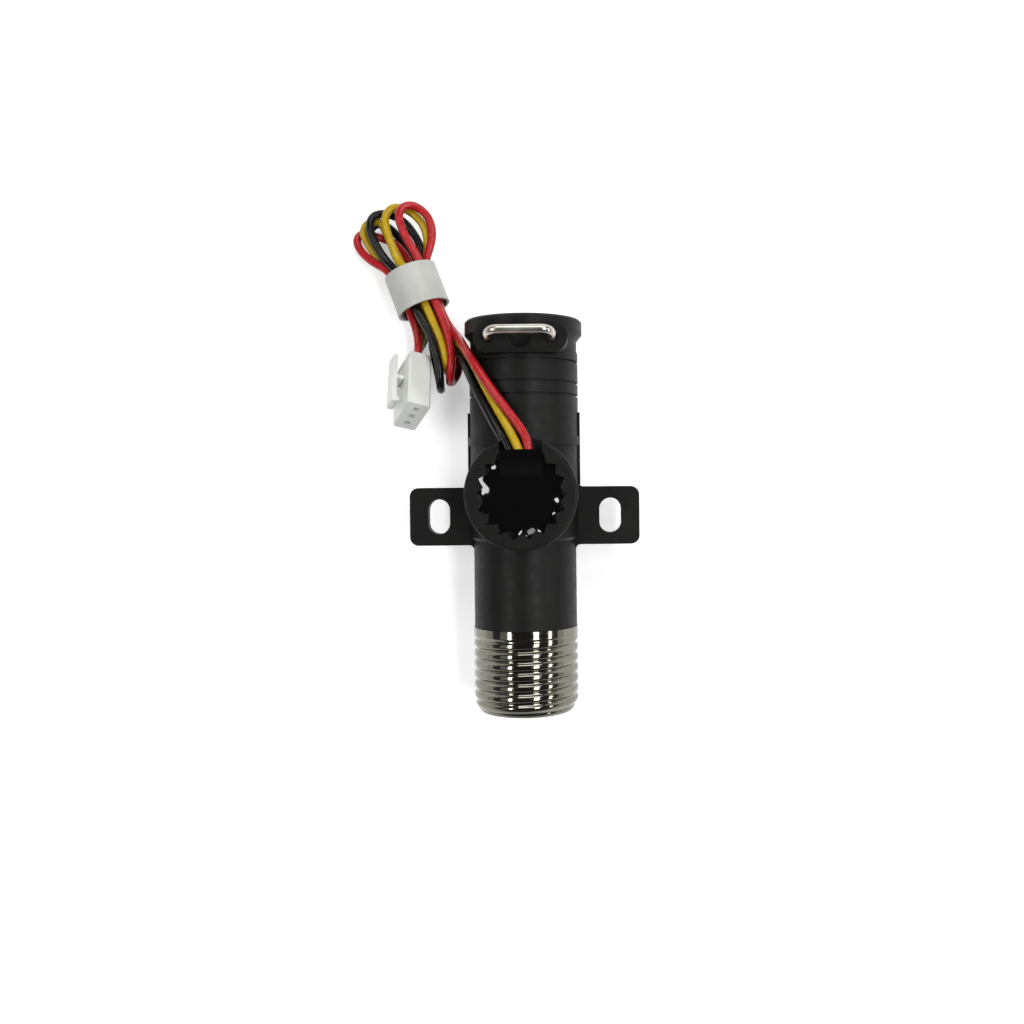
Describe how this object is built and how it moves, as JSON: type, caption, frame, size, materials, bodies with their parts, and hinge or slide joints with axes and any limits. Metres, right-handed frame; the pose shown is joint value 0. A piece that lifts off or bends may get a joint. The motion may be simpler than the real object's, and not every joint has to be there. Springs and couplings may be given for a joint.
{
  "type": "water flow sensor",
  "caption": "Turbine water flow sensor: moulded tube with plated threaded inlet, potted sensor port, slotted ears, clipped outlet socket and tied wire harness with plug.",
  "frame": {"origin": "centre of the inlet end face, on the flow axis", "axes": "+Y along the flow axis from inlet to outlet, +Z out of the sensor port, +X across the fixing ears"},
  "size_m": [0.0587, 0.1057, 0.0277],
  "materials": {
    "body_plastic": "moulded charcoal black, satin",
    "plated_brass": "bright nickel plate",
    "seal_rubber": "smooth",
    "white_plastic": "moulded, satin",
    "bush_plastic": "smooth",
    "magnet": "sintered, dull",
    "bright_steel": "ground",
    "spring_steel": "drawn wire",
    "chip_plastic": "moulded",
    "board_laminate": "lacquered",
    "capacitor_ceramic": "fired",
    "potting_resin": "cast, glossy",
    "red_sheath": "extruded, soft gloss",
    "yellow_sheath": "extruded, soft gloss",
    "black_sheath": "extruded, soft gloss",
    "grey_sleeve": "soft extruded tube",
    "plug_plastic": "moulded, satin",
    "contact_tin": "tin plated"
  },
  "bodies": {
    "sensor": {"sensor_body": "body_plastic", "inlet_thread": "plated_brass", "inlet_seal": "seal_rubber", "flow_guide": "white_plastic", "front_bush": "bush_plastic", "rear_bush": "bush_plastic", "rear_spider": "white_plastic", "snap_ring": "spring_steel", "hall_chip": "chip_plastic", "hall_board": "board_laminate", "board_parts": "capacitor_ceramic", "potting": "potting_resin", "wire_red": "red_sheath", "wire_yellow": "yellow_sheath", "wire_black": "black_sheath", "wire_hank": "red_sheath", "hank_sleeve": "grey_sleeve", "tail_red": "red_sheath", "tail_yellow": "yellow_sheath", "tail_black": "black_sheath", "plug_housing": "plug_plastic", "plug_contacts": "contact_tin"},
    "turbine": {"rotor": "white_plastic", "magnet_ring": "magnet", "rotor_shaft": "bright_steel"},
    "clip": {"retaining_clip": "spring_steel"},
    "latch": {"plug_latch": "plug_plastic"}
  },
  "joints": [
    {"name": "rotor_spin", "type": "hinge", "parent": "sensor", "child": "turbine", "pos_m": [0, 0.04, 0], "axis": [0, 1, 0], "continuous": true},
    {"name": "clip_pull", "type": "slide", "parent": "sensor", "child": "clip", "axis": [0, 0, 1], "range_m": [0, 0.026]},
    {"name": "latch_rock", "type": "hinge", "parent": "sensor", "child": "latch", "pos_m": [-0.02559, 0.06649, -0.00258], "axis": [-0.4769, -0.4845, -0.7333], "range_deg": [0, 6], "stiffness_Nm_per_rad": 0.02}
  ]
}
